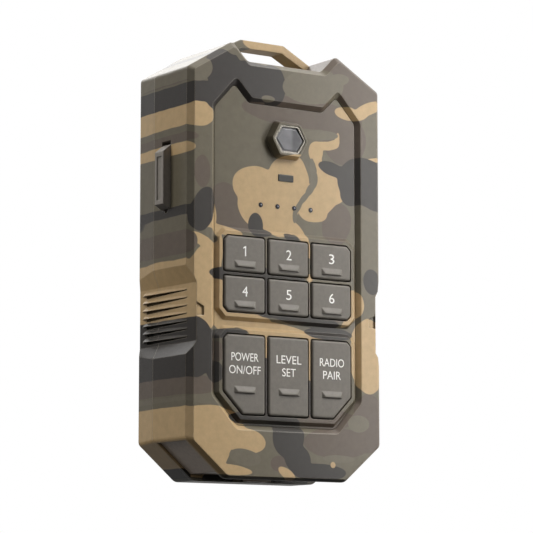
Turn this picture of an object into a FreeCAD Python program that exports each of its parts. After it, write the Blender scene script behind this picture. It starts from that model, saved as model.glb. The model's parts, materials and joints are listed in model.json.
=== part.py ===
"""Electronic game caller: a two-shell handheld with a nine-key front panel.

Frame: +X to the user's right, +Y from the front face to the back, +Z up.
Origin: centre of the flat foot under the rear shell.  All sizes in millimetres.
"""
import FreeCAD, Part
import math
import os

V = FreeCAD.Vector

# ---- driving dimensions ------------------------------------------------------
# Planes across the depth
FRONT = -24.2             # raised front margin
PART = FRONT + 19.8       # joint between the front and rear shells
REAR_EDGE = FRONT + 28.6  # start of the rear bevel
BACK = FRONT + 31.0       # back face

# Body outline, right half
HALF_WIDTH = 35.2
NOTCH = (13.5, 125.3)
PEAK = (19.0, 130.8)
SHOULDER_Z = 121.2
LOW_SHOULDER_Z = 11.3
FOOT_X = 21.8
BODY_RADII = [2.6, 1.6, 1.6, 1.8, 3.0]
WALL = 2.2
LAND = 4.6                # width of the sealing land at the joint plane
LAND_DEPTH = 2.6
FRONT_BEVEL = 1.8
REAR_TAPER = 0.6          # lean-in of the rear sides
REAR_BEVEL = 2.0

# Strap bar across the top notch
BAR_TOP = 135.0
BAR_HALF = 8.0
BAR_THICK = 2.4
BAR_FRONT = FRONT + 14.0

# Front panel and its recess
PANEL = [(12.9, 114.0), (18.7, 119.8), (27.2, 110.7), (27.2, 24.1), (18.4, 14.3)]
PANEL_RADII = [1.6, 1.2, 2.4, 2.6, 2.4]
STEP_WIDTH = 1.4
STEP_DEPTH = 1.2
FLOOR = FRONT + STEP_DEPTH
PANEL_BACK = FRONT + 3.0
PANEL_SEAM = 0.12
PANEL_FLANGE = 0.9

# Keys
KEY_PITCH = 15.8
KEY_W = 14.6
ROW_TOPS = (71.7, 59.7)
NUMBER_H = 10.6
COMMAND_TOP = 42.4
COMMAND_H = 23.5
KEY_FACE = FRONT - 0.4
KEY_ROUND = 0.7
KEY_GAP = 0.35
KEY_TRAVEL = 0.5
CORNER_CUT = 1.4
FOOT_CUT = 6.7
BAR = (7.6, 2.0, 0.6)     # tactile bar on each key: width, height and how far it stands out
RIM = 1.1
RIM_FACE = FRONT + 0.1
LIP_FRONT = PANEL_BACK + 0.1
LIP = 0.52
LIP_THICK = 0.6

# Keypad mat and main board
MAT_FRONT = FRONT + 4.35
BOARD_FRONT = FRONT + 4.85
BOARD_BACK = BOARD_FRONT + 1.0
BOARD_POSTS = [(20.0, 110.0), (22.0, 77.0), (7.9, 45.75)]

# Hexagonal window: half width, half flat and half height
WINDOW_Z = 102.4
HEX_BASE = (7.5, 4.3, 5.8)
HEX_RIM = (6.5, 3.7, 4.9)
HEX_POCKET = (5.8, 3.3, 4.3)
HEX_HOLE = (4.6, 2.6, 3.3)
HEX_FRONT = FRONT - 1.3

# Indicators
DOT_Z = 82.0
DOT_PITCH = 6.1
DOT_R = 0.7
STRIPE_Z = 90.9
STRIPE = (5.4, 2.0)

# Grip recess and louvres, both sides
GRIP_Z = (62.0, 57.0, 39.7, 35.9)
GRIP_FLOOR = (32.6, 33.6)  # half width of the recess floor, at FRONT and at BACK
RIB_PITCH = 2.32
RIB_COUNT = 7
RIB_LOW_Z = 55.2
RIB_H = 1.4
RIB_Y = (FRONT + 5.0, FRONT + 26.2, FRONT + 28.4)
RIB_PROUD = (0.15, 1.0)
SLOT_H = (0.2, 0.85)
SLOT_Y = (FRONT + 5.0, FRONT + 18.2)
SLOT_BLIND = 0.9

# Port cover, left side
COVER_Y = (FRONT + 10.5, FRONT + 15.2)
COVER_Z = (79.8, 96.9)
COVER_PROUD = 2.5
COVER_SEAM = 0.1
HINGE = (-HALF_WIDTH + 1.0, 98.3)
KNUCKLE_R = 1.1
PIN_R = 0.6
POCKET_X = -HALF_WIDTH + 1.3
CHARGE_Z = 91.2
AUDIO_Z = 83.3
SOCKET_Y = FRONT + 12.85

# Battery end cap, tray and cells
CAP_Y = (FRONT + 2.8, FRONT + 18.2)
CAP_SINK = 0.8
CAP_FOOT = 2.0
CAP_THICK = 1.6
CAP_GAP = 0.1
END_WALL = 1.9
TAB = (4.6, 3.9, 0.15)    # half width at its root and tip, and height of the tip
TAB_Y = FRONT + 14.8
CELL_R = 5.25
CELL_L = 43.5
CELL_PITCH = 10.9
CELL_Y = FRONT + 12.25
CELL_BASE = (5.0, 6.3)     # lower ends of the cells whose studs face down and up
STUD = 1.0
TRAY_X = 22.3
TRAY_Y = (FRONT + 6.3, FRONT + 18.2)
TRAY_Z = (4.3, 52.4)
TRAY_BORE_TOP = 51.2

# Speakers
SPEAKER_X = (23.0, 29.0, 30.3)
SPEAKER_Y = (FRONT + 5.6, FRONT + 18.4)
SPEAKER_Z = (40.2, 56.8)

# Fasteners
CASE_SCREWS = [(29.5, 112.0), (29.5, 69.0), (29.5, 27.0)]
CASE_R = 1.25
SMALL_R = 0.7


# ---- shape helpers -----------------------------------------------------------
def at(p, y):
    """The (x, z) point p placed in the plane y."""
    return V(p[0], y, p[1])


def outline(points, y, radii=None):
    """Closed wire through (x, z) points in the plane y, with rounded corners."""
    count = len(points)
    radii = radii or [0.0] * count
    starts, middles, ends = [], [], []
    for i, point in enumerate(points):
        corner = at(point, y)
        before = (at(points[i - 1], y) - corner).normalize()
        after = (at(points[(i + 1) % count], y) - corner).normalize()
        half = before.getAngle(after) / 2
        starts.append(corner + before * (radii[i] / math.tan(half)))
        ends.append(corner + after * (radii[i] / math.tan(half)))
        bisector = (before + after).normalize()
        middles.append(corner + bisector * (radii[i] / math.sin(half) - radii[i]))
    edges = []
    for i in range(count):
        if radii[i] > 0:
            edges.append(Part.Arc(starts[i], middles[i], ends[i]).toShape())
        edges.append(Part.makeLine(ends[i], starts[(i + 1) % count]))
    return Part.Wire(edges)


def prism(points, y0, y1, radii=None):
    """An (x, z) outline extruded along Y."""
    return Part.Face(outline(points, y0, radii)).extrude(V(0, y1 - y0, 0))


def loft(points0, y0, points1, y1, radii0=None, radii1=None):
    """Straight-sided solid between two outlines whose corners match."""
    return Part.makeLoft([outline(points0, y0, radii0), outline(points1, y1, radii1)], True, True)


def box(x, y, z):
    """Box from three (low, high) pairs."""
    return Part.makeBox(x[1] - x[0], y[1] - y[0], z[1] - z[0], V(x[0], y[0], z[0]))


def rod_x(y, z, x0, x1, r):
    return Part.makeCylinder(r, x1 - x0, V(x0, y, z), V(1, 0, 0))


def rod_y(x, z, y0, y1, r):
    return Part.makeCylinder(r, y1 - y0, V(x, y0, z), V(0, 1, 0))


def rod_z(x, y, z0, z1, r):
    return Part.makeCylinder(r, z1 - z0, V(x, y, z0), V(0, 0, 1))


def lead(points, r):
    """Round wire along a smooth curve through (x, y, z) points."""
    curve = Part.BSplineCurve()
    curve.interpolate([V(*p) for p in points])
    start = curve.tangent(curve.FirstParameter)[0]
    path = Part.Wire(curve.toShape())
    section = Part.Wire(Part.makeCircle(r, V(*points[0]), start))
    return path.makePipeShell([section], True, True)


def coil(x, y, z0, z1, r, wire_r, turns):
    """Open helical spring or aerial along Z."""
    height = z1 - z0
    path = Part.makeHelix(height / turns, height, r)
    section = Part.Wire(Part.makeCircle(wire_r, V(r, 0, 0), V(0, 1, 0)))
    body = Part.Wire(path).makePipeShell([section], True, True)
    body.translate(V(x, y, z0))
    return body


def fuse(shapes):
    return shapes[0].multiFuse(shapes[1:]).removeSplitter()


def both_sides(shapes):
    """The shapes and their mirror images in the YZ plane."""
    return shapes + [s.mirror(V(0, 0, 0), V(1, 0, 0)) for s in shapes]


def mirrored(half):
    """Full outline from its right half, listed from the top down."""
    return half + [(-x, z) for x, z in reversed(half)]


def offset(points, amounts):
    """Outline with the edge after point i moved inwards by amounts[i]."""
    count = len(points)
    pairs = [(points[i], points[(i + 1) % count]) for i in range(count)]
    turn = math.copysign(1, sum(a[0] * b[1] - b[0] * a[1] for a, b in pairs))
    lines = []
    for (a, b), amount in zip(pairs, amounts):
        length = math.dist(a, b)
        nx, nz = turn * (a[1] - b[1]) / length, turn * (b[0] - a[0]) / length
        lines.append((nx, nz, nx * a[0] + nz * a[1] + amount))
    moved = []
    for i in range(count):
        a0, b0, c0 = lines[i - 1]
        a1, b1, c1 = lines[i]
        scale = a0 * b1 - a1 * b0
        moved.append(((c0 * b1 - c1 * b0) / scale, (a0 * c1 - a1 * c0) / scale))
    return moved


def inset(points, amount):
    return offset(points, [amount] * len(points))


def hexagon(sizes, z=WINDOW_Z):
    half_w, half_flat, half_h = sizes
    return [(-half_flat, z + half_h), (half_flat, z + half_h), (half_w, z),
            (half_flat, z - half_h), (-half_flat, z - half_h), (-half_w, z)]


def rectangle(x, z, w, h):
    return [(x - w / 2, z + h / 2), (x + w / 2, z + h / 2),
            (x + w / 2, z - h / 2), (x - w / 2, z - h / 2)]


# ---- outlines ----------------------------------------------------------------
BODY = mirrored([NOTCH, PEAK, (HALF_WIDTH, SHOULDER_Z), (HALF_WIDTH, LOW_SHOULDER_Z), (FOOT_X, 0.0)])
ROUND = BODY_RADII + BODY_RADII[::-1]
PANEL_EDGE = mirrored(PANEL)
PANEL_ROUND = PANEL_RADII + PANEL_RADII[::-1]
PANEL_FLOOR = inset(PANEL_EDGE, STEP_WIDTH)


def edge_amounts(flank, slope, side, chamfer, foot, notch):
    """Amounts for offset(BODY, ...), edge by edge round the symmetric body."""
    half = [flank, slope, side, chamfer]
    return half + [foot] + half[::-1] + [notch]


def cavity_outline(wall):
    """Inside of the shells, pulled in behind the grips and above the end cap."""
    under_cap = CAP_SINK + CAP_THICK + CAP_GAP + END_WALL
    over_foot = CAP_FOOT + CAP_THICK + CAP_GAP + END_WALL
    inner = offset(BODY, edge_amounts(wall, wall, wall, max(under_cap, wall), over_foot, wall))[:5]
    side = inner[2][0]
    grip = GRIP_FLOOR[0] - 1.9
    if side > grip:
        top, low = GRIP_Z[0], GRIP_Z[3]
        step = [(side, top + 4), (grip, top + 1), (grip, low - 2), (side, low - 5)]
        inner[3:3] = step
    return mirrored(inner)


def end_band(chamfer_out, foot_out, chamfer_in, foot_in, start):
    """U-shaped band round the low chamfers and foot, between two offsets of the body."""
    run = math.dist(BODY[3], BODY[4])
    along = ((BODY[4][0] - BODY[3][0]) / run, (BODY[4][1] - BODY[3][1]) / run)
    inward = (along[1], -along[0])
    tips = []
    for depth in (chamfer_out, chamfer_in):
        tips.append(tuple(BODY[3][k] + along[k] * start + inward[k] * depth for k in (0, 1)))
    corners = []
    for chamfer, foot in ((chamfer_out, foot_out), (chamfer_in, foot_in)):
        corners.append(offset(BODY, edge_amounts(0, 0, 0, chamfer, foot, 0))[4])
    half = [tips[1], tips[0], corners[0]]
    return half + [(-x, z) for x, z in reversed(half)] + [(-corners[1][0], corners[1][1]), corners[1]]


def grip_floor(y):
    """Half width of the grip recess floor at depth y."""
    share = (y - FRONT) / (BACK - FRONT)
    return GRIP_FLOOR[0] + share * (GRIP_FLOOR[1] - GRIP_FLOOR[0])


# ---- keys --------------------------------------------------------------------
def key_outline(x, top, height, cuts):
    """Key face outline; cuts gives (along x, along z) for corners tl, tr, br, bl."""
    left, right, low = x - KEY_W / 2, x + KEY_W / 2, top - height
    corners = {"tl": (left, top, 1, -1), "tr": (right, top, -1, -1),
               "br": (right, low, -1, 1), "bl": (left, low, 1, 1)}
    points = []
    for name, (cx, cz, sx, sz) in corners.items():
        if name not in cuts:
            points.append((cx, cz))
            continue
        dx, dz = cuts[name]
        pair = [(cx, cz + sz * dz), (cx + sx * dx, cz)]
        points += pair if name in ("tl", "br") else pair[::-1]
    return points


SMALL = (CORNER_CUT, CORNER_CUT)
LARGE = (FOOT_CUT, FOOT_CUT)
KEYS = {
    "key_1": (-1, ROW_TOPS[0], NUMBER_H, {"tl": SMALL}),
    "key_2": (0, ROW_TOPS[0], NUMBER_H, {}),
    "key_3": (1, ROW_TOPS[0], NUMBER_H, {"tr": SMALL}),
    "key_4": (-1, ROW_TOPS[1], NUMBER_H, {"bl": SMALL}),
    "key_5": (0, ROW_TOPS[1], NUMBER_H, {}),
    "key_6": (1, ROW_TOPS[1], NUMBER_H, {"br": SMALL}),
    "key_power": (-1, COMMAND_TOP, COMMAND_H, {"tl": SMALL, "bl": LARGE}),
    "key_set": (0, COMMAND_TOP, COMMAND_H, {}),
    "key_pair": (1, COMMAND_TOP, COMMAND_H, {"tr": SMALL, "br": LARGE}),
}
KEY_OUTLINES = {name: key_outline(c * KEY_PITCH, top, h, cuts) for name, (c, top, h, cuts) in KEYS.items()}
KEY_CENTRES = {name: (c * KEY_PITCH, top - h / 2) for name, (c, top, h, _) in KEYS.items()}


def group_outline(top, low, top_cut, low_cut):
    """Outer edge of the flat rim round one group of keys."""
    reach = KEY_GAP + RIM
    side = KEY_PITCH + KEY_W / 2
    half = [(side - top_cut, top), (side, top - top_cut), (side, low + low_cut), (side - low_cut, low)]
    return inset(mirrored(half), -reach)


def round_front(shape, plane, r):
    """Round every edge that lies in the plane y = plane."""
    flat = [e for e in shape.Edges if all(abs(v.Y - plane) < 1e-6 for v in e.Vertexes)]
    return shape.makeFillet(r, flat)


def tactile_bar(x, z):
    """Raised wedge with a long upper slope and a steep underside."""
    width, height, proud = BAR
    crest = rectangle(x, z - height * 0.32, width - 2.0, height * 0.22)
    return loft(rectangle(x, z, width, height), KEY_FACE, crest, KEY_FACE - proud)


def key(name):
    points = KEY_OUTLINES[name]
    height = KEYS[name][2]
    x, z = KEY_CENTRES[name]
    radii = [0.9] * len(points)
    cap = round_front(prism(points, KEY_FACE, LIP_FRONT, radii), KEY_FACE, KEY_ROUND)
    lip = prism(inset(points, -LIP), LIP_FRONT, LIP_FRONT + LIP_THICK)
    lift = 2.3 if height == NUMBER_H else 7.2
    return fuse([cap, lip, tactile_bar(x, z - height / 2 + lift)])


# ---- front shell -------------------------------------------------------------
def body_front():
    """Outside of the front shell with its bevel and the strap bar."""
    face = offset(BODY, edge_amounts(1.5, 1.5, 1.7, 0.8, 0.8, 1.5))
    face_round = [max(r - 0.4, 0.8) for r in ROUND]
    bevel_y = FRONT + FRONT_BEVEL
    shell = loft(face, FRONT, BODY, bevel_y, face_round, ROUND).fuse(prism(BODY, bevel_y, PART, ROUND))
    return shell.fuse(strap_bar()).removeSplitter()


def strap_bar():
    """Fixed bar that bridges the two peaks behind the notch."""
    fall = 0.53
    reach = 20.0
    drop = (reach - BAR_HALF) * fall
    low = BAR_TOP - BAR_THICK
    half = [(BAR_HALF, BAR_TOP), (reach, BAR_TOP - drop), (reach, low - drop), (BAR_HALF - 0.6, low)]
    return prism(mirrored(half), BAR_FRONT, PART, [1.6, 0, 0, 1.2, 1.2, 0, 0, 1.6])


def grip_cutter():
    """Prism that cuts the grip recess in the right side, full depth."""
    reach = HALF_WIDTH + 3.0
    ends = []
    for y in (FRONT - 1.0, BACK + 1.0):
        floor = grip_floor(y)
        stretch = (reach - floor) / (HALF_WIDTH - floor)
        top = GRIP_Z[1] + (GRIP_Z[0] - GRIP_Z[1]) * stretch
        low = GRIP_Z[2] - (GRIP_Z[2] - GRIP_Z[3]) * stretch
        ends.append([(floor, GRIP_Z[1]), (reach, top), (reach, low), (floor, GRIP_Z[2])])
    return loft(ends[0], FRONT - 1.0, ends[1], BACK + 1.0)


def along_rib(pair, y):
    """A value that grows evenly from the front end of a rib to its crest."""
    share = (y - RIB_Y[0]) / (RIB_Y[1] - RIB_Y[0])
    return pair[0] + share * (pair[1] - pair[0])


def rib_section(low, y, proud):
    floor = grip_floor(y)
    return [(floor - 0.3, low + RIB_H), (floor + proud, low), (floor - 0.3, low)]


def ribs(y0, y1):
    """Saw-tooth louvre ribs on the right side between two depths."""
    solids = []
    for i in range(RIB_COUNT):
        low = RIB_LOW_Z - i * RIB_PITCH
        crest = min(y1, RIB_Y[1])
        a = rib_section(low, y0, along_rib(RIB_PROUD, y0))
        b = rib_section(low, crest, along_rib(RIB_PROUD, crest))
        solids.append(loft(a, y0, b, crest))
        if y1 > RIB_Y[1]:
            end = rib_section(low, RIB_Y[2], 0.02)
            solids.append(loft(b, crest, end, RIB_Y[2]))
    return solids


def slots(y0, y1, depth):
    """Cutters for the gap under each rib on the right side."""
    cutters = []
    for i in range(RIB_COUNT):
        top = RIB_LOW_Z - i * RIB_PITCH
        ends = []
        for y in (y0, y1):
            inner, outer, low = grip_floor(y) - depth, HALF_WIDTH + 1.0, top - along_rib(SLOT_H, y)
            ends.append([(inner, top), (outer, top), (outer, low), (inner, low)])
        cutters.append(loft(ends[0], y0, ends[1], y1))
    return cutters


def panel_opening():
    """Sloped recess wall and the straight opening behind it."""
    ahead = 0.6
    wide = inset(PANEL_EDGE, -ahead * STEP_WIDTH / STEP_DEPTH)
    slope = loft(wide, FRONT - ahead, PANEL_FLOOR, FLOOR, PANEL_ROUND, PANEL_ROUND)
    return slope.fuse(prism(PANEL_FLOOR, FLOOR, PANEL_BACK + 0.01, PANEL_ROUND))


def margin_marks():
    """Small slanted accents sunk in the margin beside each grip."""
    mark = prism([(30.0, 50.0), (32.5, 51.2), (32.4, 47.2), (30.0, 47.4)], FRONT - 0.5, FRONT + 0.5)
    return both_sides([mark])


def port_pocket():
    """Pocket, hinge relief, socket openings and nail notch for the port cover."""
    y = (COVER_Y[0] - COVER_SEAM, COVER_Y[1] + COVER_SEAM)
    out = -HALF_WIDTH - 1.0
    hx, hz = HINGE
    relief = [(out, hz + 2.1), (-HALF_WIDTH, hz + 2.1), (hx + 1.0, hz + 1.4),
              (hx + 1.0, hz - 1.4), (out, hz - 1.4)]
    cuts = [
        box((out, POCKET_X), y, (COVER_Z[0] - COVER_SEAM, hz)),
        prism(relief, y[0], y[1]),
        rod_y(hx, hz, y[0], y[1], KNUCKLE_R + 0.35),
        rod_y(hx, hz, y[0] - 1.5, y[1] + 1.5, PIN_R + 0.01),
        box((out, -30.0), (SOCKET_Y - 1.7, SOCKET_Y + 1.7), (CHARGE_Z - 4.6, CHARGE_Z + 4.6)),
        rod_x(SOCKET_Y, AUDIO_Z, out, -30.0, 1.9),
        rod_x(SOCKET_Y, COVER_Z[0] - 0.1, out, -HALF_WIDTH + 0.5, 1.0),
    ]
    return cuts


def speaker_openings():
    """Through slots under the ribs of both grips."""
    return both_sides(slots(SLOT_Y[0], SLOT_Y[1], 3.5))


def hollow(y0, y1, wall):
    return prism(cavity_outline(wall), y0, y1)


def end_recess():
    """Space for the end cap, open downwards."""
    chamfer = CAP_SINK + CAP_THICK + CAP_GAP
    foot = CAP_FOOT + CAP_THICK + CAP_GAP
    band = end_band(-3.0, -3.0, chamfer, foot, 0.9)
    return prism(band, CAP_Y[0] - CAP_GAP, CAP_Y[1] + CAP_GAP)


def case_posts(y0, y1, r):
    return both_sides([rod_y(x, z, y0, y1, r) for x, z in CASE_SCREWS])


def seal_ring(outer, inner, y0, y1):
    ring_radii = [1.0] * len(BODY)
    return prism(inset(BODY, outer), y0, y1, ring_radii).cut(prism(inset(BODY, inner), y0, y1, ring_radii))


def front_shell():
    shell = body_front()
    shell = shell.cut([hollow(PANEL_BACK, PART - LAND_DEPTH, WALL), hollow(PART - LAND_DEPTH, PART, LAND)])
    posts = case_posts(PANEL_BACK - 0.1, PART, 2.6)
    sockets = [rod_y(-28.4, z, PANEL_BACK - 0.1, FRONT + 14.5, 1.7) for z in (77.4, 98.8)]
    shell = shell.fuse(posts + sockets).common(body_front())
    cuts = [panel_opening(), end_recess()] + both_sides([grip_cutter()]) + margin_marks() + port_pocket()
    cuts += case_posts(PART - 10.0, PART, CASE_R + 0.05)
    cuts += [rod_y(-28.4, z, FRONT + 9.5, FRONT + 14.5, SMALL_R + 0.05) for z in (77.4, 98.8)]
    cuts += [box((-TRAY_X - 0.1, TRAY_X + 0.1), (TRAY_Y[0] - 0.1, TRAY_Y[1] + 0.1), (0.0, 8.0))]
    cuts += [seal_ring(2.9, 3.9, PART - 0.9, PART)]
    shell = shell.cut(cuts)
    shell = shell.fuse(both_sides(ribs(RIB_Y[0], PART)))
    shell = shell.cut(speaker_openings() + both_sides(slots(SLOT_Y[1], PART, SLOT_BLIND)))
    return shell.removeSplitter()


# ---- rear shell --------------------------------------------------------------
def rear_shell():
    tapered = offset(BODY, edge_amounts(0, 0, REAR_TAPER, 0, 0, 0))
    back = inset(tapered, REAR_BEVEL)
    back_round = [max(r - 0.4, 0.8) for r in ROUND]
    outer = loft(BODY, PART, tapered, REAR_EDGE, ROUND, ROUND)
    outer = outer.fuse(loft(tapered, REAR_EDGE, back, BACK, ROUND, back_round))
    inner_back = BACK - WALL
    mouth = hollow(PART, PART + LAND_DEPTH, LAND)
    shell = outer.cut([mouth, hollow(PART + LAND_DEPTH, inner_back, WALL + REAR_TAPER)])
    shell = shell.fuse(case_posts(PART, inner_back + 0.1, 3.0) + amplifier_posts()).common(outer)
    cuts = both_sides([grip_cutter()]) + case_posts(PART, BACK, CASE_R + 0.1)
    cuts += case_posts(BACK - 2.0, BACK, 2.5) + [back_recess()]
    cuts += [rod_y(x, z, FRONT + 22.0, FRONT + 27.0, SMALL_R + 0.05) for x, z in AMPLIFIER_POSTS]
    shell = shell.cut(cuts)
    shell = shell.fuse(both_sides(ribs(PART, RIB_Y[2])))
    return shell.cut(both_sides(slots(PART, RIB_Y[1], SLOT_BLIND))).removeSplitter()


def back_recess():
    """Shallow flat field in the middle of the back."""
    field = mirrored([(9.0, 117.0), (25.0, 108.0), (25.0, 24.0), (14.0, 14.0)])
    return prism(field, BACK - 0.5, BACK + 0.5, [2.0] * len(field))


AMPLIFIER_POSTS = [(x, z) for x in (-19.0, 19.0) for z in (65.0, 88.0)]


def amplifier_posts():
    return [rod_y(x, z, FRONT + 22.0, BACK - WALL + 0.1, 2.0) for x, z in AMPLIFIER_POSTS]


# ---- front panel -------------------------------------------------------------
NUMBER_GROUP = group_outline(ROW_TOPS[0], ROW_TOPS[1] - NUMBER_H, CORNER_CUT, CORNER_CUT)
COMMAND_GROUP = group_outline(COMMAND_TOP, COMMAND_TOP - COMMAND_H, CORNER_CUT, FOOT_CUT)


def stripe_outline(grow=0.0):
    return rectangle(0, STRIPE_Z, STRIPE[0] + 2 * grow, STRIPE[1] + 2 * grow)


def dot_places():
    return [((i - 1.5) * DOT_PITCH, DOT_Z) for i in range(4)]


def front_panel():
    plate_edge = inset(PANEL_FLOOR, PANEL_SEAM)
    panel = prism(plate_edge, FLOOR, PANEL_BACK, PANEL_ROUND)
    rim_inner = inset(PANEL_FLOOR, 1.3)
    band = prism(plate_edge, PANEL_BACK, PANEL_BACK + 1.0, PANEL_ROUND)
    flange = prism(inset(PANEL_FLOOR, -PANEL_FLANGE), PANEL_BACK + 0.05, PANEL_BACK + 1.0, PANEL_ROUND)
    ring = band.fuse(flange).cut(prism(rim_inner, PANEL_BACK, PANEL_BACK + 1.1))
    islands = []
    for group in (NUMBER_GROUP, COMMAND_GROUP):
        base = inset(group, -(FLOOR - RIM_FACE))
        islands.append(loft(base, FLOOR, group, RIM_FACE, [1.6] * 8, [0.8] * 8))
    bezel = loft(hexagon(HEX_BASE), FLOOR, hexagon(HEX_RIM), HEX_FRONT, [1.6] * 6, [1.2] * 6)
    posts = both_sides([rod_y(x, z, PANEL_BACK - 0.1, BOARD_FRONT, 1.7) for x, z in BOARD_POSTS])
    panel = panel.multiFuse([ring, bezel] + islands + posts)
    cuts = []
    for points in KEY_OUTLINES.values():
        hole_round = [1.0] * len(points)
        cuts.append(prism(inset(points, -KEY_GAP), FRONT - 1, PANEL_BACK + 0.05, hole_round))
    cuts += [prism(hexagon(HEX_POCKET), HEX_FRONT - 1, HEX_FRONT + 2.0, [0.9] * 6),
             prism(hexagon(HEX_HOLE), FRONT - 1, PANEL_BACK + 1),
             prism(stripe_outline(0.04), FRONT, PANEL_BACK + 1)]
    cuts += [rod_y(x, z, FRONT, PANEL_BACK + 1, DOT_R + 0.04) for x, z in dot_places()]
    cuts += both_sides([rod_y(x, z, FRONT + 1.8, BOARD_FRONT, SMALL_R + 0.05) for x, z in BOARD_POSTS])
    return panel.cut(cuts).removeSplitter()


# ---- window and indicators ---------------------------------------------------
def window_ring():
    outer, inner = (hexagon(tuple(s - d for s in HEX_POCKET)) for d in (0.05, 0.55))
    y0, y1 = HEX_FRONT + 0.2, HEX_FRONT + 1.1
    return prism(outer, y0, y1, [0.9] * 6).cut(prism(inner, y0, y1, [0.7] * 6))


def window_glass():
    """Glass with a raised, bevelled face inside the ring and a foot behind it."""
    base = hexagon(tuple(s - 0.05 for s in HEX_POCKET))
    edge = hexagon(tuple(s - 0.6 for s in HEX_POCKET))
    face = hexagon(tuple(s - 1.2 for s in HEX_POCKET))
    y0, y1, y2 = HEX_FRONT + 0.25, HEX_FRONT + 0.7, HEX_FRONT + 1.1
    foot = prism(base, y2, HEX_FRONT + 1.95, [0.9] * 6)
    step = prism(edge, y1, y2, [0.7] * 6)
    return fuse([foot, step, loft(face, y0, edge, y1, [0.5] * 6, [0.7] * 6)])


def light_sensor():
    """Sensor can with a domed lens, behind the window."""
    can = rod_y(0, WINDOW_Z, FRONT + 2.2, BOARD_FRONT, 2.4)
    dome = Part.makeSphere(1.5, V(0, FRONT + 2.3, WINDOW_Z))
    base = prism(rectangle(0, WINDOW_Z, 6.6, 5.4), BOARD_FRONT - 0.9, BOARD_FRONT)
    return fuse([can, dome, base])


def indicator_stripe():
    return prism(stripe_outline(), FLOOR - 0.2, FRONT + 4.1, [0.3] * 4)


def status_lights():
    return Part.makeCompound([rod_y(x, z, FLOOR - 0.15, FRONT + 4.1, DOT_R) for x, z in dot_places()])


def leds():
    """Surface-mounted LEDs behind each light guide."""
    places = dot_places() + [(-1.4, STRIPE_Z), (1.4, STRIPE_Z)]
    return Part.makeCompound([prism(rectangle(x, z, 1.6, 0.8), FRONT + 4.2, BOARD_FRONT) for x, z in places])


# ---- keypad and boards -------------------------------------------------------
def keypad_mat():
    half = [(23.9, 73.6), (23.9, 27.5), (17.0, 17.6)]
    sheet = prism(mirrored(half), MAT_FRONT, BOARD_FRONT)
    domes, cavities = [], []
    for x, z in KEY_CENTRES.values():
        height = MAT_FRONT - (LIP_FRONT + LIP_THICK + 0.05)
        domes.append(Part.makeCone(3.6, 2.7, height, V(x, MAT_FRONT, z), V(0, -1, 0)))
        cavities.append(rod_y(x, z, MAT_FRONT - 0.25, BOARD_FRONT, 2.3))
    holes = both_sides([rod_y(x, z, MAT_FRONT, BOARD_FRONT, 2.0) for x, z in BOARD_POSTS[2:]])
    return sheet.multiFuse(domes).cut(cavities + holes).removeSplitter()


def switch_domes():
    """Snap domes under the keys."""
    discs = []
    for x, z in KEY_CENTRES.values():
        disc = Part.makeCone(2.0, 1.2, 0.35, V(x, BOARD_FRONT, z), V(0, -1, 0))
        discs.append(disc)
    return Part.makeCompound(discs)


def main_board():
    edge = mirrored([(10.5, 113.0), (17.5, 115.5), (24.4, 108.5), (24.4, 25.5), (17.0, 16.9)])
    holes = both_sides([rod_y(x, z, BOARD_FRONT, BOARD_BACK, SMALL_R + 0.1) for x, z in BOARD_POSTS])
    return prism(edge, BOARD_FRONT, BOARD_BACK, [1.0] * 10).cut(holes)


def pan_screw(x, z, head_y, length, r, head_r, head_h, toward):
    """Pan-head screw with a cross recess; toward is +1 if it drives towards +Y."""
    shank = Part.makeCylinder(r, length, V(x, head_y, z), V(0, toward, 0))
    head = Part.makeCylinder(head_r, head_h, V(x, head_y, z), V(0, -toward, 0))
    outer = [e for e in head.Edges if abs(e.Vertexes[0].Y - (head_y - toward * head_h)) < 1e-6]
    head = head.makeFillet(head_h * 0.35, [e for e in outer if e.Curve.TypeId == "Part::GeomCircle"])
    screw = shank.fuse(head)
    deep = sorted((head_y - toward * head_h, head_y - toward * head_h * 0.35))
    cross = [box((x - head_r * 0.55, x + head_r * 0.55), deep, (z - head_r * 0.12, z + head_r * 0.12)),
             box((x - head_r * 0.12, x + head_r * 0.12), deep, (z - head_r * 0.55, z + head_r * 0.55))]
    return screw.cut(cross)


def case_screws():
    screws = []
    for x, z in CASE_SCREWS:
        for side in (x, -x):
            screws.append(pan_screw(side, z, BACK - 2.0, BACK - 2.0 - (PART - 9.0), CASE_R, 2.3, 1.5, -1))
    return Part.makeCompound(screws)


def board_screws():
    """Small screws of the main, socket and amplifier boards."""
    screws = []
    for x, z in BOARD_POSTS:
        for side in (x, -x):
            screws.append(pan_screw(side, z, BOARD_BACK, 3.6, SMALL_R, 1.4, 0.4, -1))
    for z in (77.4, 98.8):
        screws.append(pan_screw(-28.4, z, FRONT + 15.5, 5.0, SMALL_R, 1.4, 0.8, -1))
    for x, z in AMPLIFIER_POSTS:
        screws.append(pan_screw(x, z, FRONT + 20.8, 5.0, SMALL_R, 1.4, 0.8, 1))
    return Part.makeCompound(screws)


def socket_board():
    board = box((-31.7, -21.5), (FRONT + 14.5, FRONT + 15.5), (75.4, 100.8))
    return board.cut([rod_y(-28.4, z, FRONT + 14.0, FRONT + 16.0, SMALL_R + 0.1) for z in (77.4, 98.8)])


def charge_socket():
    """Metal receptacle with its contact tongue."""
    y = (SOCKET_Y - 1.6, FRONT + 14.5)
    shell = box((-32.8, -25.4), y, (CHARGE_Z - 4.5, CHARGE_Z + 4.5))
    mouth = box((-32.8, -26.4), (y[0] + 0.3, y[1] - 0.35), (CHARGE_Z - 4.2, CHARGE_Z + 4.2))
    tongue = box((-31.6, -26.0), (SOCKET_Y - 0.35, SOCKET_Y + 0.35), (CHARGE_Z - 3.3, CHARGE_Z + 3.3))
    return fuse([shell.cut(mouth), tongue])


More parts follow.
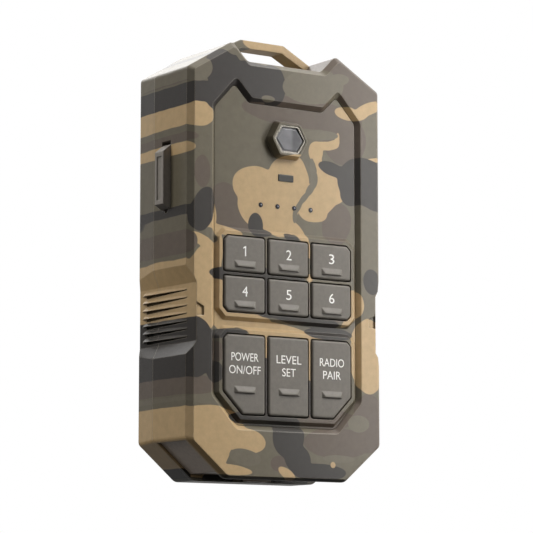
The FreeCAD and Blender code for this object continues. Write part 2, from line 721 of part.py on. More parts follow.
def audio_socket():
    """Round jack socket for an outside speaker."""
    block = box((-31.8, -22.0), (FRONT + 10.2, FRONT + 14.5), (AUDIO_Z - 3.0, AUDIO_Z + 2.9))
    collar = rod_x(SOCKET_Y, AUDIO_Z, -32.8, -31.8, 2.6)
    return fuse([block, collar]).cut(rod_x(SOCKET_Y, AUDIO_Z, -33.0, -23.0, 1.8))


def radio_board():
    board = prism(rectangle(10.0, 97.0, 20.0, 26.0), FRONT + 8.6, FRONT + 9.6, [1.0] * 4)
    header = prism(rectangle(10.0, 86.6, 17.8, 2.4), BOARD_BACK, FRONT + 8.6)
    return fuse([board, header])


def radio_shield():
    """Pressed screening can, open towards its board."""
    can = prism(rectangle(10.0, 98.0, 15.0, 15.0), FRONT + 9.6, FRONT + 12.2, [0.8] * 4)
    return can.cut(prism(rectangle(10.0, 98.0, 14.4, 14.4), FRONT + 9.6, FRONT + 11.9))


def antenna():
    """Helical aerial standing beside the radio board."""
    mast = coil(22.6, FRONT + 12.0, 92.0, 116.0, 2.0, 0.4, 12)
    return mast


def amplifier_board():
    board = prism(rectangle(0, 76.5, 44.0, 29.0), FRONT + 20.8, FRONT + 22.0, [1.5] * 4)
    return board.cut([rod_y(x, z, FRONT + 20.0, FRONT + 23.0, SMALL_R + 0.1) for x, z in AMPLIFIER_POSTS])


def amplifier_parts():
    """Amplifier chip, coil and capacitors on the amplifier board."""
    face = FRONT + 20.8
    chip = prism(rectangle(0, 78.0, 9.0, 9.0), face - 1.6, face, [0.4] * 4)
    inductor = prism(rectangle(-11.0, 80.0, 6.0, 6.0), face - 3.0, face, [1.0] * 4)
    cans = [rod_y(x, z, face - 7.0, face, 3.0) for x, z in ((10.5, 84.0), (10.5, 75.0), (-10.5, 70.0))]
    return Part.makeCompound([chip, inductor] + cans)


# ---- port cover --------------------------------------------------------------
def port_cover():
    """Proud flap with a sunk grip field, hinged at its top end."""
    out = -HALF_WIDTH - COVER_PROUD
    hx, hz = HINGE
    inner = POCKET_X - COVER_SEAM
    side = [(inner, COVER_Z[0] + 0.1), (-HALF_WIDTH - 0.1, COVER_Z[0]), (out, COVER_Z[0] + 1.3),
            (out, COVER_Z[1]), (-HALF_WIDTH, hz + 0.7), (inner, hz)]
    flap = prism(side, COVER_Y[0], COVER_Y[1])
    knuckle = rod_y(hx, hz, COVER_Y[0], COVER_Y[1], KNUCKLE_R)
    field = box((out - 0.5, out + 0.35), (COVER_Y[0] + 1.0, COVER_Y[1] - 1.0),
                (COVER_Z[0] + 2.6, COVER_Z[1] - 1.4))
    bore = rod_y(hx, hz, COVER_Y[0] - 1, COVER_Y[1] + 1, PIN_R + 0.05)
    return fuse([flap, knuckle]).cut([field, bore])


def port_cover_pin():
    return rod_y(HINGE[0], HINGE[1], COVER_Y[0] - 1.4, COVER_Y[1] + 1.4, PIN_R)


# ---- power -------------------------------------------------------------------
def cell_places():
    return [(i - 1.5) * CELL_PITCH for i in range(4)]


def battery_cover():
    """End cap wrapped round the foot, with a thumb tab at its rear edge."""
    chamfer_in, foot_in = CAP_SINK + CAP_THICK, CAP_FOOT + CAP_THICK
    band = prism(end_band(CAP_SINK, CAP_FOOT, chamfer_in, foot_in, 1.1), *CAP_Y)
    root, tip, tip_z = TAB
    tab_top = CAP_FOOT + 0.1
    tab = prism([(-root, tab_top), (root, tab_top), (tip, tip_z), (-tip, tip_z)], TAB_Y, CAP_Y[1])
    return fuse([band, tab])


def battery_tray():
    tray = box((-TRAY_X, TRAY_X), TRAY_Y, TRAY_Z)
    bores = [rod_z(x, CELL_Y, TRAY_Z[0] - 1, TRAY_BORE_TOP, CELL_R + 0.1) for x in cell_places()]
    seats = [box((-8.8, 8.8), (CELL_Y - 3.1, CELL_Y + 3.1), (TRAY_BORE_TOP - 0.5, TRAY_BORE_TOP))]
    vents = [box((x - 1.5, x + 1.5), (TRAY_Y[0] - 1, TRAY_Y[0] + 2), (14.0, 42.0)) for x in cell_places()]
    return tray.cut(bores + vents + seats)


def battery_cells():
    """Four round cells, with every second one turned end for end."""
    cells = []
    for i, x in enumerate(cell_places()):
        low = CELL_BASE[i % 2]
        high = low + CELL_L
        stud = (high, high + STUD) if i % 2 else (low - STUD, low)
        cells.append(rod_z(x, CELL_Y, low, high, CELL_R).fuse(rod_z(x, CELL_Y, *stud, 1.9)))
    return Part.makeCompound(cells)


def contact_set(z_plate, z_free, pairs, springs):
    """Contact strips across pairs of cells, and coil springs reaching towards z_free."""
    low, high = sorted((z_plate, z_plate + math.copysign(0.33, z_free - z_plate)))
    solids = []
    for a, b in pairs:
        x0, x1 = cell_places()[a], cell_places()[b]
        solids.append(box((x0 - 3.2, x1 + 3.2), (CELL_Y - 3.0, CELL_Y + 3.0), (low, high)))
    top = high if z_free > z_plate else low
    for i in springs:
        ends = sorted((top + math.copysign(0.35, z_free - z_plate), z_free))
        solids.append(coil(cell_places()[i], CELL_Y, ends[0], ends[1], 2.4, 0.3, 1.5))
    return Part.makeCompound(solids)


def cap_contacts():
    return contact_set(CAP_FOOT + CAP_THICK + 0.02, CELL_BASE[1] - 0.4, [(0, 1), (2, 3)], [1, 3])


def tray_contacts():
    free = CELL_BASE[0] + CELL_L + 0.4
    return contact_set(TRAY_BORE_TOP - 0.02, free, [(0, 0), (1, 2), (3, 3)], [0, 2])


def battery_leads():
    """Two leads from the tray's end contacts up to the main board."""
    leads = []
    for x in (-cell_places()[3], cell_places()[3]):
        path = [(x, CELL_Y, TRAY_Z[1] + 0.5), (x, CELL_Y - 1.0, TRAY_Z[1] + 4.0),
                (x * 0.9, FRONT + 9.0, 62.0), (x * 0.8, BOARD_BACK + 0.5, 66.0)]
        leads.append(lead(path, 0.45))
    return Part.makeCompound(leads)


# ---- sound -------------------------------------------------------------------
def speaker():
    """Right speaker: flat frame, cone and magnet, facing outwards."""
    x0, x1, x2 = SPEAKER_X
    mid_y, mid_z = sum(SPEAKER_Y) / 2, sum(SPEAKER_Z) / 2
    frame = box((x1, x2), SPEAKER_Y, SPEAKER_Z)
    dish = Part.makeCone(1.8, 5.7, x2 - x1 - 0.4, V(x1 + 0.4, mid_y, mid_z), V(1, 0, 0))
    cap = Part.makeCone(1.4, 0.7, 0.6, V(x1 + 0.3, mid_y, mid_z), V(1, 0, 0))
    magnet = rod_x(mid_y, mid_z, x0 + 2.2, x1 + 0.1, 5.6)
    plate = rod_x(mid_y, mid_z, x0, x0 + 2.3, 4.6)
    return frame.cut(dish).multiFuse([cap, magnet, plate])


def speaker_mesh():
    """Fine sheet between the louvre slots and the right speaker."""
    x = SPEAKER_X[2] + 0.05
    return box((x, x + 0.2), SPEAKER_Y, SPEAKER_Z)


def speaker_leads():
    leads = []
    for side in (-1, 1):
        for z in (53.0, 55.0):
            path = [(side * 28.0, SPEAKER_Y[1] + 0.4, z), (side * 26.4, FRONT + 21.5, z + 6.0),
                    (side * 24.0, FRONT + 23.4, z + 16.0), (side * 20.5, FRONT + 22.5, z + 20.0)]
            leads.append(lead(path, 0.4))
    return Part.makeCompound(leads)


def mirror_x(shape):
    return shape.mirror(V(0, 0, 0), V(1, 0, 0))


def main():
    nodes = {
        "front_shell": front_shell(),
        "rear_shell": rear_shell(),
        "shell_seal": seal_ring(2.95, 3.85, PART - 0.9, PART - 0.02),
        "case_screws": case_screws(),
        "front_panel": front_panel(),
        "window_ring": window_ring(),
        "window_glass": window_glass(),
        "light_sensor": light_sensor(),
        "indicator_stripe": indicator_stripe(),
        "status_lights": status_lights(),
        "indicator_leds": leds(),
        "keypad_mat": keypad_mat(),
        "switch_domes": switch_domes(),
        "main_board": main_board(),
        "board_screws": board_screws(),
        "port_cover": port_cover(),
        "port_cover_pin": port_cover_pin(),
        "socket_board": socket_board(),
        "charge_socket": charge_socket(),
        "audio_socket": audio_socket(),
        "radio_board": radio_board(),
        "radio_shield": radio_shield(),
        "antenna": antenna(),
        "amplifier_board": amplifier_board(),
        "amplifier_parts": amplifier_parts(),
        "battery_cover": battery_cover(),
        "cap_contacts": cap_contacts(),
        "battery_tray": battery_tray(),
        "battery_cells": battery_cells(),
        "tray_contacts": tray_contacts(),
        "battery_leads": battery_leads(),
        "speaker_right": speaker(),
        "speaker_left": mirror_x(speaker()),
        "speaker_mesh_right": speaker_mesh(),
        "speaker_mesh_left": mirror_x(speaker_mesh()),
        "speaker_leads": speaker_leads(),
    }
    for name in KEYS:
        nodes[name] = key(name)
    os.makedirs("parts", exist_ok=True)
    for name, shape in nodes.items():
        shape.exportStep(f"parts/{name}.step")


main()
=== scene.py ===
import json
import math
import bmesh
import bpy
from mathutils import Matrix, Vector

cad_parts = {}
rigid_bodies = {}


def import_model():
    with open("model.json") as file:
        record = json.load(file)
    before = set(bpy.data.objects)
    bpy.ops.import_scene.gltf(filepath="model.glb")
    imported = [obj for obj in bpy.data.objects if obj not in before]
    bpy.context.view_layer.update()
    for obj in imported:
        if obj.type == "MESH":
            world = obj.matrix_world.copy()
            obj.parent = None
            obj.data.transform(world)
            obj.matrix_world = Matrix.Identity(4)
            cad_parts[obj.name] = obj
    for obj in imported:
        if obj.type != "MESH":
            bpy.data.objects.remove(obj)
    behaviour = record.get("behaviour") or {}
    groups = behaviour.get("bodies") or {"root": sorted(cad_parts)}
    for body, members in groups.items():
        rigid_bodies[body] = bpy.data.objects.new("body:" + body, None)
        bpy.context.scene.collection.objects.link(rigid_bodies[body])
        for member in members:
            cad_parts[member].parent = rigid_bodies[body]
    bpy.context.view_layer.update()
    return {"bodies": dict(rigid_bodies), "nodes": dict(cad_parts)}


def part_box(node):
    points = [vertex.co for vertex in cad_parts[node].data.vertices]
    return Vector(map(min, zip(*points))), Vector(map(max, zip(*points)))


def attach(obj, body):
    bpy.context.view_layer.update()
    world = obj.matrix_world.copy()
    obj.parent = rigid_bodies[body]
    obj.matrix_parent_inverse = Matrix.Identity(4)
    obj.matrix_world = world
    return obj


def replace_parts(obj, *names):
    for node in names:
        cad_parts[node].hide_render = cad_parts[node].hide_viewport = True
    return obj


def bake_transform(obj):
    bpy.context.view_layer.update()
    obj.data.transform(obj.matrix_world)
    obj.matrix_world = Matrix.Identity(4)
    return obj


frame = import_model()
NODES = frame["nodes"]
MM = 0.001

# Heights and depths of the CAD part that the looks depend on, in millimetres
FRONT = -24.2
KEY_FACE = FRONT - 0.4
MAT_FRONT = FRONT + 4.35
BOARD_FRONT = FRONT + 4.85
REAR_SHELL = FRONT + 13.9
STATUS_PITCH, STATUS_HEIGHT = 6.1, 82.0
COLUMNS = (-15.8, 0.0, 15.8)
NUMBER_ROWS = (67.3, 55.3)
COMMAND_LINES = (35.8, 32.0)


# ---- node graph helpers --------------------------------------------------------
class Graph:
    """Small wrapper that adds shader nodes and joins them."""

    def __init__(self, tree):
        self.tree = tree

    def add(self, kind, **props):
        node = self.tree.nodes.new(kind)
        for name, value in props.items():
            setattr(node, name, value)
        return node

    def plug(self, value, socket):
        if isinstance(value, bpy.types.NodeSocket):
            self.tree.links.new(value, socket)
        else:
            socket.default_value = value

    def math(self, op, a, b=0.0, c=0.0):
        node = self.add("ShaderNodeMath", operation=op)
        for value, socket in zip((a, b, c), node.inputs):
            self.plug(value, socket)
        return node.outputs[0]

    def product(self, *factors):
        total = factors[0]
        for factor in factors[1:]:
            total = self.math("MULTIPLY", total, factor)
        return total

    def vector(self, op, a, b):
        """Vector result of a vector operation."""
        node = self.add("ShaderNodeVectorMath", operation=op)
        self.plug(a, node.inputs[0])
        self.plug(b, node.inputs[1])
        return node.outputs[0]

    def dot(self, a, b):
        node = self.add("ShaderNodeVectorMath", operation="DOT_PRODUCT")
        self.plug(a, node.inputs[0])
        self.plug(b, node.inputs[1])
        return node.outputs["Value"]

    def scaled(self, vector, factor):
        node = self.add("ShaderNodeVectorMath", operation="SCALE")
        self.plug(vector, node.inputs[0])
        self.plug(factor, node.inputs["Scale"])
        return node.outputs[0]

    def axes(self, vector):
        """X, Y and Z of a vector."""
        node = self.add("ShaderNodeSeparateXYZ")
        self.plug(vector, node.inputs[0])
        return node.outputs

    def joined(self, x, y, z=0.0):
        node = self.add("ShaderNodeCombineXYZ")
        for value, socket in zip((x, y, z), node.inputs):
            self.plug(value, socket)
        return node.outputs[0]

    def mix(self, factor, a, b):
        node = self.add("ShaderNodeMix", data_type="RGBA")
        self.plug(factor, node.inputs[0])
        self.plug(a, node.inputs[6])
        self.plug(b, node.inputs[7])
        return node.outputs[2]

    def remap(self, value, low, high, out_low=0.0, out_high=1.0, smooth=False):
        node = self.add("ShaderNodeMapRange")
        node.interpolation_type = "SMOOTHSTEP" if smooth else "LINEAR"
        self.plug(value, node.inputs[0])
        for i, number in enumerate((low, high, out_low, out_high)):
            node.inputs[i + 1].default_value = number
        return node.outputs[0]

    def shade(self, colour, factor):
        """Colour made darker or lighter by a factor."""
        return self.scaled(colour if isinstance(colour, bpy.types.NodeSocket) else colour[:3], factor)

    def place(self):
        """Object-space position in millimetres."""
        return self.scaled(self.add("ShaderNodeTexCoord").outputs["Object"], 1000.0)

    def noise(self, vector, scale, detail=3.0, rough=0.55):
        node = self.add("ShaderNodeTexNoise")
        self.plug(vector, node.inputs["Vector"])
        node.inputs["Scale"].default_value = scale
        node.inputs["Detail"].default_value = detail
        node.inputs["Roughness"].default_value = rough
        return node.outputs["Fac"]

    def uneven(self, place, scale, detail, low, high):
        """Slow noise spread between two values."""
        return self.remap(self.noise(place, scale, detail), 0.3, 0.7, low, high)

    def speckled(self, place, scale, low, high):
        """Fine noise spread between two values, with more contrast."""
        return self.remap(self.noise(place, scale, 2), 0.35, 0.65, low, high)

    def cells(self, vector, scale):
        node = self.add("ShaderNodeTexVoronoi")
        self.plug(vector, node.inputs["Vector"])
        node.inputs["Scale"].default_value = scale
        return node.outputs["Distance"]

    def rounded(self, radius_mm):
        """Normal with small rounded edges."""
        node = self.add("ShaderNodeBevel", samples=6)
        node.inputs["Radius"].default_value = radius_mm * MM
        return node.outputs[0]

    def edge_mask(self, normal):
        """Near 1 on rounded edges and 0 on flats."""
        geometry = self.add("ShaderNodeNewGeometry")
        return self.remap(self.dot(normal, geometry.outputs["Normal"]), 0.998, 0.93)

    def crevice(self, reach_mm, darkest_shade):
        """Painted shade: a factor that falls towards the darkest value in grooves and inner corners."""
        node = self.add("ShaderNodeAmbientOcclusion", samples=6)
        node.inputs["Distance"].default_value = reach_mm * MM
        return self.remap(node.outputs["AO"], 0.35, 0.92, darkest_shade, 1.0)

    def bump(self, height, strength, normal=None):
        node = self.add("ShaderNodeBump")
        node.inputs["Strength"].default_value = strength
        node.inputs["Distance"].default_value = 0.05 * MM
        self.plug(height, node.inputs["Height"])
        if normal is not None:
            self.plug(normal, node.inputs["Normal"])
        return node.outputs[0]


class Finish(Graph):
    """New material with a node graph that feeds its surface."""

    def __init__(self, name):
        self.material = bpy.data.materials.new(name)
        self.material.use_nodes = True
        super().__init__(self.material.node_tree)
        self.surface = self.tree.nodes["Principled BSDF"]

    def set(self, **inputs):
        """Plug values or sockets into the surface; underscores stand for spaces."""
        for name, value in inputs.items():
            self.plug(value, self.surface.inputs[name.replace("_", " ")])


def rgb(red, green, blue):
    """Linear colour from 0-255 display values."""
    out = []
    for value in (red, green, blue):
        c = value / 255
        out.append(c / 12.92 if c <= 0.04045 else ((c + 0.055) / 1.055) ** 2.4)
    return (*out, 1.0)


# ---- camouflage pattern --------------------------------------------------------
# Each blob is (x, z, half width, half height, turn in degrees), in millimetres on the front.
BROWN = [
    (27, 121.5, 10.5, 7.5, -15), (17.5, 129, 4.5, 3.5, 30), (6, 111.5, 22, 4.6, 0),
    (21.5, 105, 7.8, 8, 0), (-30.7, 90, 2.8, 4.8, 0), (-21.8, 80.5, 6, 7, 10),
    (18.8, 78.4, 5.2, 6.8, -25), (-15.5, 76, 4.5, 3.0, 0), (-33, 27, 7.5, 2.9, 0),
    (18, 11.6, 12.5, 4.6, 0), (12, 18.8, 14, 3.0, 0), (30, 18, 6, 9, 0), (-3.4, 4.8, 3, 2.3, 0),
    (-26, 37, 3.4, 3.2, 0), (-38, 100.4, 6, 1.5, 0), (-38, 118, 6, 1.2, 0), (16, 53, 9, 5, 0),
]
BROWN_NOSE = [(-37, 69.1, 4.6, 3.8, 0)]
TAN = [
    (-10.3, 87.3, 9, 6.2, -4), (1, 90.5, 7.6, 7.2, 0), (-6.5, 82, 11, 8, 0), (-3, 77, 5.8, 4.4, 0),
    (3, 95, 3.8, 3.2, 0), (4.7, 74.6, 3.8, 1.7, -50), (0.8, 75.6, 3.6, 1.8, 0), (7.4, 70, 1.0, 3.2, 15),
    (8, 61, 1.2, 1.2, 0), (12.8, 86.2, 9.2, 5.3, 40), (10.2, 80.8, 5.0, 2.4, 0),
    (18.2, 87.4, 3.5, 2.8, 0), (11.2, 100.2, 2.6, 3.2, -15), (12.2, 96.8, 1.3, 3.0, 10),
    (13.6, 93.2, 2.2, 2.4, 0), (14.6, 102.4, 4.8, 1.25, 5), (17.2, 102.9, 3.0, 1.25, 26),
    (19.3, 104.9, 0.75, 1.9, -8), (-30.2, 69.2, 5.8, 1.7, -22), (-25.9, 67.4, 2.6, 6.4, 0),
    (22.5, 113.2, 4.2, 1.9, -4), (30.5, 115.4, 5.6, 1.9, 22), (26.8, 112.9, 3.2, 1.5, 12),
    (31.5, 99.2, 5.6, 0.75, 11), (-32.4, 107.3, 5.9, 3.9, 0), (-38, 107, 6, 2.6, 0),
    (-37, 97.2, 4, 1.9, 0), (-26.6, 77, 1.6, 4.6, 0), (-23, 73.2, 6.6, 1.5, -8),
    (-29.4, 55.5, 6.4, 12.5, 0), (-38, 55, 6, 10.4, 0), (-22, 52, 6, 9, 0), (-16, 46.8, 10, 2.2, 0),
    (-5, 44.4, 12, 2.4, -3), (-2, 39, 13, 7.4, -6), (5.5, 43.8, 8.5, 1.3, -12), (8, 36, 1.3, 6.5, 0),
    (24.4, 54.2, 3.9, 4.3, 0), (23, 49.2, 3.8, 1.2, 35), (30, 38.5, 6.6, 11.6, 0),
    (38, 38.5, 6, 11.6, 0), (25.3, 38, 2.4, 7, 0), (-28, 14.8, 13, 6.4, 0), (-38, 17, 6, 4.2, 0),
    (-16, 11.3, 7.9, 3.8, -6), (-21, 2.6, 8, 1.5, -4), (-29, 7, 7, 5, -30), (-26, 8.6, 5.4, 6, -30),
]
CHARCOAL = [
    (28.2, 92.4, 8.9, 7.4, 0), (34, 91, 9, 7.5, 0), (17.6, 95.3, 5.6, 2.1, -12), (24, 87.6, 3.6, 3.0, 0),
    (-30.3, 78.8, 4.1, 7, -20), (-38, 78.6, 6, 1.6, 0), (-11, 75.8, 2.7, 3.6, 0),
    (1.4, 72.7, 2.8, 1.2, -16), (-9.4, 73.4, 3.6, 1.2, 0), (-11, 60.2, 17.2, 2.9, 0), (-8, 55, 7, 7, 0),
    (6, 48.3, 13, 1.9, -4), (15.5, 44.6, 9, 2.0, 0), (-33, 38, 6.6, 9, 0), (-38, 36.5, 6, 7.8, 0),
    (-22, 42.6, 7.6, 1.4, 6), (-26, 31, 3, 3.2, 0), (0, 13, 5.7, 6.6, 0), (3.4, 6.4, 5.0, 4.2, -30),
    (11.5, 2.7, 9.6, 2.6, 0), (31.2, 61.5, 3.1, 3.9, 10), (-8, 26, 8, 10, 0), (-10, 18, 11, 2.2, 0),
    (3, 25, 9, 6, 0),
]
CHARCOAL_TOP = [
    (-13, 119, 12, 6.2, 0), (-23, 120.8, 6.6, 7, 0), (-30.5, 114, 8, 3.2, 4), (-38, 113, 6, 3.4, 0),
    (-25, 113.5, 5, 4.6, 30), (-5.5, 118.5, 4.6, 6.6, 0),
]
OLIVE = [
    (-32.6, 121.2, 5.3, 4.3, 8), (9.4, 119.8, 11.4, 5.3, 6), (18.5, 123, 4.4, 1.9, 12),
    (-7.2, 114.3, 2.4, 1.0, 0), (-20, 129, 3.6, 2.6, -20), (13, 105.4, 6.6, 1.5, 4),
    (9.9, 95, 1.0, 3.0, 4), (10.5, 91.6, 1.3, 2.8, -4), (9.1, 88.4, 1.15, 2.6, -36),
    (6.8, 85.4, 0.95, 2.6, -42), (4.6, 82.4, 0.85, 2.6, -34), (3.4, 79.6, 0.85, 2.1, -6),
    (-27.3, 71.4, 2.7, 1.6, -40), (26, 17.8, 4.0, 2.6, 0), (18.5, 6.9, 6.0, 1.1, 0),
    (-15.4, 6.3, 5.6, 2.4, -8), (-26, 23, 10, 1.6, 0),
]
TAN_SPOTS = [(16.3, 5.1, 0.9, 0.9, 0), (-0.4, 1.9, 3.5, 1.5, -28)]
TAN_STRAP = [(2.5, 134.6, 9.4, 3.0, 0), (12.2, 130.9, 7.4, 2.6, -28)]
TAIL = [
    (-31.5, 4.8, 3.4, 2.4, -40), (-25.6, 1.4, 3.0, 2.2, 0), (-13, 1.0, 5.6, 2.0, 0),
    (2, 1.2, 4.2, 1.6, 0), (15, 1.0, 5.0, 2.0, 0), (28, 3.6, 4.2, 2.4, 40),
]

BASE_TONE = rgb(112, 105, 88)
BROWN_TONE = rgb(104, 92, 81)
TAN_TONE = rgb(200, 171, 127)
CHARCOAL_TONE = rgb(56, 52, 49)
# Layers from the bottom up: blobs, how many millimetres they melt together over, and colour
LAYERS = {
    "brown": (BROWN, 1.6, BROWN_TONE),
    "tan": (TAN, 1.5, TAN_TONE),
    "brown_nose": (BROWN_NOSE, 0.5, BROWN_TONE),
    "charcoal": (CHARCOAL, 1.5, CHARCOAL_TONE),
    "charcoal_top": (CHARCOAL_TOP, 1.0, rgb(60, 56, 54)),
    "olive": (OLIVE, 0.8, rgb(117, 110, 94)),
    "spots": (TAN_SPOTS, 0.3, TAN_TONE),
    "strap": (TAN_STRAP, 1.5, TAN_TONE),
    "tail": (TAIL, 0.8, CHARCOAL_TONE),
}
PANEL_LAYERS = ("brown", "tan", "charcoal", "olive", "spots")
REAR_ONLY = ("strap", "tail")
NO_BLOB_YET = 50.0
BLOB_EDGE = 0.12


def blob_group(name, blobs, soft):
    """Node group: flat front position in, signed distance to the blobs out (negative inside)."""
    tree = bpy.data.node_groups.new(name, "ShaderNodeTree")
    tree.interface.new_socket("Position", in_out="INPUT", socket_type="NodeSocketVector")
    tree.interface.new_socket("Distance", in_out="OUTPUT", socket_type="NodeSocketFloat")
    graph = Graph(tree)
    start = graph.add("NodeGroupInput")
    end = graph.add("NodeGroupOutput")
    across, up, _ = graph.axes(start.outputs[0])
    total = NO_BLOB_YET
    for x, z, half_w, half_h, turn in blobs:
        # The running total rides in the third component, whose scale makes it vanish from the length,
        # so the blobs are worked out one after another.
        mapping = graph.add("ShaderNodeMapping", vector_type="TEXTURE")
        graph.plug(graph.joined(across, up, total), mapping.inputs["Vector"])
        mapping.inputs["Location"].default_value = (x, z, 0)
        mapping.inputs["Rotation"].default_value = (0, 0, math.radians(turn))
        mapping.inputs["Scale"].default_value = (half_w, half_h, 1e6)
        length = graph.add("ShaderNodeVectorMath", operation="LENGTH")
        graph.plug(mapping.outputs[0], length.inputs[0])
        size = (half_w * half_h) ** 0.5
        near = graph.math("MULTIPLY_ADD", length.outputs["Value"], size, -size)
        total = graph.math("SMOOTH_MIN", total, near, soft)
    graph.plug(total, end.inputs[0])
    return tree


GROUPS = {name: blob_group("camo_" + name, blobs, soft) for name, (blobs, soft, _) in LAYERS.items()}


def camo_colour(graph, place, layers):
    """Film pattern: blobs seen straight from the front, so the flanks carry level bands."""
    warp = graph.add("ShaderNodeTexNoise")
    graph.plug(place, warp.inputs["Vector"])
    warp.inputs["Scale"].default_value = 0.16
    warp.inputs["Detail"].default_value = 1.0
    centred = graph.vector("SUBTRACT", warp.outputs["Color"], (0.5, 0.5, 0.5))
    x, y, z = graph.axes(place)
    moved = graph.vector("ADD", graph.joined(x, z), graph.scaled(centred, 0.5))
    level = graph.vector("MULTIPLY", moved, (1, 1, 0))
    colour = BASE_TONE
    for name in layers:
        group = graph.add("ShaderNodeGroup", node_tree=GROUPS[name])
        graph.plug(level, group.inputs[0])
        inside = graph.remap(group.outputs[0], BLOB_EDGE, -BLOB_EDGE, smooth=True)
        if name in REAR_ONLY:
            inside = graph.product(inside, graph.math("GREATER_THAN", y, REAR_SHELL))
        colour = graph.mix(inside, colour, LAYERS[name][2])
    return colour


def camo_material(name, layers, radius, strength=1.0):
    """Dipped film: pattern and faint mottle, with painted shade in grooves and a painted highlight on edges;
    strength scales the tone.
    """
    finish = Finish(name)
    place = finish.place()
    colour = camo_colour(finish, place, layers)
    mottle = finish.uneven(place, 0.5, 4, 0.93 * strength, 1.06 * strength)
    speck = finish.speckled(place, 7.0, 0.965, 1.03)
    # The tone is darkened by painted shade in grooves and inner corners.
    tone = finish.shade(colour, finish.product(mottle, speck, finish.crevice(1.8, 0.4)))
    normal = finish.rounded(radius)
    # Painted highlight: rounded edges are mixed towards a pale colour.
    edge = finish.product(finish.edge_mask(normal), 0.24)
    finish.set(
        Base_Color=finish.mix(edge, tone, rgb(214, 203, 184)),
        Roughness=finish.uneven(place, 1.8, 3, 0.32, 0.42),
        Normal=finish.bump(finish.noise(place, 5.5, 3, 0.6), 0.22, normal),
        Specular_IOR_Level=0.42,
    )
    return finish.material


# ---- other materials -----------------------------------------------------------
def plastic(name, colour, rough=0.5, grain=0.25, grain_scale=6.0, radius=0.25, edge_highlight=0.12,
            specular=0.4, darkest_shade=0.6):
    """Moulded plastic or rubber with fine grain and uneven sheen, painted shade in crevices and a painted
    highlight on edges.
    """
    finish = Finish(name)
    place = finish.place()
    mottle = finish.uneven(place, 0.8, 4, 0.92, 1.07)
    speck = finish.speckled(place, 9.0, 0.95, 1.05)
    # The tone is darkened by painted shade in grooves and inner corners.
    tone = finish.shade(colour, finish.product(mottle, speck, finish.crevice(1.2, darkest_shade)))
    normal = finish.rounded(radius)
    # Painted highlight: rounded edges are mixed towards a pale colour.
    edge = finish.product(finish.edge_mask(normal), edge_highlight)
    finish.set(
        Base_Color=finish.mix(edge, tone, rgb(200, 196, 188)),
        Roughness=finish.uneven(place, 2.2, 3, rough - 0.06, rough + 0.06),
        Normal=finish.bump(finish.noise(place, grain_scale, 3, 0.6), grain, normal),
        Specular_IOR_Level=specular,
    )
    return finish.material


def metal(name, colour, rough=0.3):
    """Metal with fine drawn scratches and darker tarnish."""
    finish = Finish(name)
    place = finish.place()
    lines = finish.noise(finish.vector("MULTIPLY", place, (1.0, 1.0, 14.0)), 1.2, 4)
    tarnish = finish.remap(finish.noise(place, 0.7, 4), 0.35, 0.7, 1.05, 0.8)
    finish.set(
        Base_Color=finish.shade(colour, tarnish),
        Metallic=1.0,
        Roughness=finish.remap(lines, 0.3, 0.7, rough - 0.08, rough + 0.1),
        Normal=finish.bump(lines, 0.12, finish.rounded(0.12)),
    )
    return finish.material


def board(name, mask, trace):
    """Circuit board: solder mask over a maze of tracks with scattered pads."""
    finish = Finish(name)
    place = finish.place()
    x, _, z = finish.axes(place)
    flat = finish.joined(x, z)
    brick = finish.add("ShaderNodeTexBrick")
    finish.plug(flat, brick.inputs["Vector"])
    brick.inputs["Scale"].default_value = 0.5
    brick.inputs["Mortar Size"].default_value = 0.045
    brick.inputs["Color1"].default_value = mask
    brick.inputs["Color2"].default_value = tuple(c * 0.8 for c in mask[:3]) + (1.0,)
    brick.inputs["Mortar"].default_value = trace
    pads = finish.remap(finish.cells(flat, 0.45), 0.16, 0.13)
    finish.set(
        Base_Color=finish.mix(pads, brick.outputs["Color"], rgb(205, 190, 150)),
        Metallic=finish.product(pads, 0.8),
        Roughness=finish.uneven(place, 1.5, 3, 0.25, 0.4),
        Normal=finish.bump(brick.outputs["Fac"], 0.3, finish.rounded(0.1)),
    )
    return finish.material


def glass(name, colour, rough, alpha=1.0, frost=0.0, painted_reflection_fade=0.0):
    """Tinted window with faint haze; the fade is a painted reflection that leaves it darker towards the
    right.
    """
    finish = Finish(name)
    place = finish.place()
    haze = finish.uneven(place, 0.35, 2, 0.9, 1.1)
    # Painted reflection: the tint gets darker towards the right.
    across = finish.remap(finish.axes(place)["X"], 0.2, 1.6, 1.0, 1.0 - painted_reflection_fade, smooth=True)
    finish.set(
        Base_Color=finish.shade(colour, finish.product(haze, across)),
        Roughness=finish.uneven(place, 1.6, 3, rough, rough + 0.06),
        Alpha=alpha,
        Coat_Weight=0.5,
        Normal=finish.bump(finish.noise(place, 3.0, 2), 0.04 + frost, finish.rounded(0.25)),
    )
    return finish.material


def status_lens(name, pitch, height):
    """Row of small smoked lenses, each with a painted highlight, a pale glint right of its middle."""
    finish = Finish(name)
    place = finish.place()
    x, _, z = finish.axes(place)
    across = finish.math("SUBTRACT", finish.math("FRACT", finish.math("DIVIDE", x, pitch)), 0.5)
    aside = finish.math("MULTIPLY_ADD", across, pitch, -0.16)
    above = finish.math("SUBTRACT", z, height + 0.1)
    squares = finish.math("ADD", finish.product(aside, aside), finish.product(above, above))
    # Painted highlight: a pale spot beside each lens centre.
    glint = finish.remap(finish.math("SQRT", squares), 0.36, 0.12, smooth=True)
    colour = finish.mix(glint, rgb(50, 50, 55), rgb(158, 158, 172))
    finish.set(
        Base_Color=finish.shade(colour, finish.uneven(place, 2.0, 2, 0.9, 1.1)),
        Roughness=finish.uneven(place, 1.6, 3, 0.16, 0.24),
        Normal=finish.rounded(0.15),
        Coat_Weight=0.4,
    )
    return finish.material


